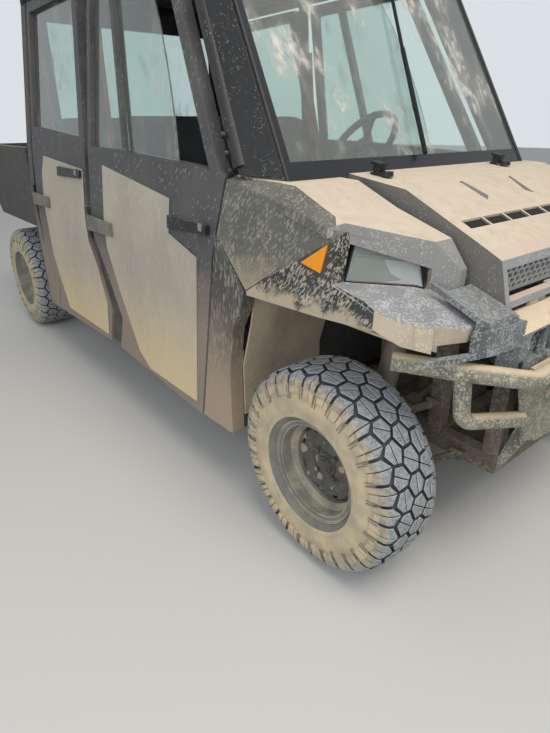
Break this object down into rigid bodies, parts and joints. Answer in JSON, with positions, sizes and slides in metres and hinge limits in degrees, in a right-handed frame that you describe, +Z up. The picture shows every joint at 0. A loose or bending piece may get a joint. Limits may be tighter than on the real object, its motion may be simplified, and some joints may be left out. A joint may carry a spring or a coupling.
{
  "type": "side by side utility vehicle",
  "caption": "Crew side by side utility vehicle with a closed cab, glazed doors, front brush guard, tipping load bed and knobbly tyres; wheels, steering, doors, hood, bed and gate move.",
  "frame": {"origin": "on the ground under the middle of the vehicle's bounding box", "axes": "+X forward, +Y to the vehicle's left, +Z up"},
  "size_m": [3.8, 1.524, 1.93],
  "materials": {
    "painted_panel": "dusty peach-tan moulded panel",
    "dark_panel": "black textured moulding, dusty",
    "black_steel": "satin black painted tube and plate",
    "guard_steel": "worn cream-grey painted tube",
    "clear_glass": "lightly tinted, dusty",
    "lamp_lens": "clear lens",
    "amber_lens": "amber reflector",
    "red_lens": "red lens",
    "seat_fabric": "dark seat cover",
    "tyre_rubber": "dusty tread rubber",
    "cast_part": "rough cast metal",
    "bare_metal": "bare steel"
  },
  "bodies": {
    "chassis": {"chassis_frame": "black_steel", "cab_tub": "dark_panel", "rear_corner_panels": "dark_panel", "front_fenders": "painted_panel", "footwell_sides": "dark_panel", "wheel_arch_liners": "dark_panel", "front_fascia": "dark_panel", "headlamps": "lamp_lens", "side_markers": "amber_lens", "roll_cage": "black_steel", "windscreen": "clear_glass", "roof": "dark_panel", "rear_wall": "dark_panel", "rear_window": "clear_glass", "dashboard": "dark_panel", "steering_column": "black_steel", "seat_bases": "dark_panel", "front_seat": "seat_fabric", "rear_seat": "seat_fabric", "brush_guard": "guard_steel", "suspension_arms": "black_steel", "shock_absorbers": "bare_metal", "drive_shafts": "bare_metal", "rear_hub_carriers": "cast_part", "power_unit": "cast_part", "silencer": "bare_metal", "tow_hitch": "black_steel", "wiper": "dark_panel"},
    "hood_lid": {"hood": "painted_panel", "hood_fittings": "dark_panel"},
    "bed": {"cargo_bed": "dark_panel", "tail_lamps": "red_lens"},
    "rear_gate": {"tailgate": "dark_panel"},
    "steering": {"steering_wheel": "dark_panel"},
    "knuckle_left": {"knuckle_front_left": "cast_part"},
    "wheel_front_left": {"tyre_front_left": "tyre_rubber", "rim_front_left": "black_steel"},
    "front_door_left": {"front_door_shell_left": "painted_panel", "front_door_glass_left": "clear_glass", "front_door_fittings_left": "black_steel"},
    "wheel_rear_left": {"tyre_rear_left": "tyre_rubber", "rim_rear_left": "black_steel"},
    "rear_door_left": {"rear_door_shell_left": "painted_panel", "rear_door_glass_left": "clear_glass", "rear_door_fittings_left": "black_steel"},
    "knuckle_right": {"knuckle_front_right": "cast_part"},
    "wheel_front_right": {"tyre_front_right": "tyre_rubber", "rim_front_right": "black_steel"},
    "front_door_right": {"front_door_shell_right": "painted_panel", "front_door_glass_right": "clear_glass", "front_door_fittings_right": "black_steel"},
    "wheel_rear_right": {"tyre_rear_right": "tyre_rubber", "rim_rear_right": "black_steel"},
    "rear_door_right": {"rear_door_shell_right": "painted_panel", "rear_door_glass_right": "clear_glass", "rear_door_fittings_right": "black_steel"}
  },
  "joints": [
    {"name": "knuckle_left_steer", "type": "hinge", "parent": "chassis", "child": "knuckle_left", "pos_m": [1.43, 0.5668, 0.33], "axis": [0, 0, 1], "range_deg": [-27, 27]},
    {"name": "knuckle_right_steer", "type": "hinge", "parent": "chassis", "child": "knuckle_right", "pos_m": [1.43, -0.5668, 0.33], "axis": [0, 0, 1], "range_deg": [-27, 27]},
    {"name": "wheel_front_left_spin", "type": "hinge", "parent": "knuckle_left", "child": "wheel_front_left", "pos_m": [1.43, 0.6385, 0.33], "axis": [0, 1, 0], "continuous": true},
    {"name": "wheel_front_right_spin", "type": "hinge", "parent": "knuckle_right", "child": "wheel_front_right", "pos_m": [1.43, -0.6385, 0.33], "axis": [0, 1, 0], "continuous": true},
    {"name": "wheel_rear_left_spin", "type": "hinge", "parent": "chassis", "child": "wheel_rear_left", "pos_m": [-1.47, 0.6135, 0.33], "axis": [0, 1, 0], "continuous": true},
    {"name": "wheel_rear_right_spin", "type": "hinge", "parent": "chassis", "child": "wheel_rear_right", "pos_m": [-1.47, -0.6135, 0.33], "axis": [0, 1, 0], "continuous": true},
    {"name": "steering_turn", "type": "hinge", "parent": "chassis", "child": "steering", "pos_m": [0.59, 0.35, 1.19], "axis": [-0.788, 0, 0.6157], "range_deg": [-162, 162]},
    {"name": "front_door_left_swing", "type": "hinge", "parent": "chassis", "child": "front_door_left", "pos_m": [-0.061, 0.752, 0.9], "axis": [0, 0, 1], "range_deg": [0, 75]},
    {"name": "front_door_right_swing", "type": "hinge", "parent": "chassis", "child": "front_door_right", "pos_m": [-0.061, -0.752, 0.9], "axis": [0, 0, -1], "range_deg": [0, 75]},
    {"name": "rear_door_left_swing", "type": "hinge", "parent": "chassis", "child": "rear_door_left", "pos_m": [-0.844, 0.752, 0.9], "axis": [0, 0, 1], "range_deg": [0, 75]},
    {"name": "rear_door_right_swing", "type": "hinge", "parent": "chassis", "child": "rear_door_right", "pos_m": [-0.844, -0.752, 0.9], "axis": [0, 0, -1], "range_deg": [0, 75]},
    {"name": "hood_tilt", "type": "hinge", "parent": "chassis", "child": "hood_lid", "pos_m": [1.772, 0, 0.861], "axis": [0, 1, 0], "range_deg": [0, 60]},
    {"name": "bed_tip", "type": "hinge", "parent": "chassis", "child": "bed", "pos_m": [-1.77, 0, 0.76], "axis": [0, -1, 0], "range_deg": [0, 40]},
    {"name": "tailgate_drop", "type": "hinge", "parent": "bed", "child": "rear_gate", "pos_m": [-1.873, 0, 0.838], "axis": [0, -1, 0], "range_deg": [0, 90]}
  ],
  "couplings": [
    {"joint": "knuckle_left_steer", "follows": "knuckle_right_steer", "ratio": 1},
    {"joint": "steering_turn", "follows": "knuckle_right_steer", "ratio": 6}
  ]
}
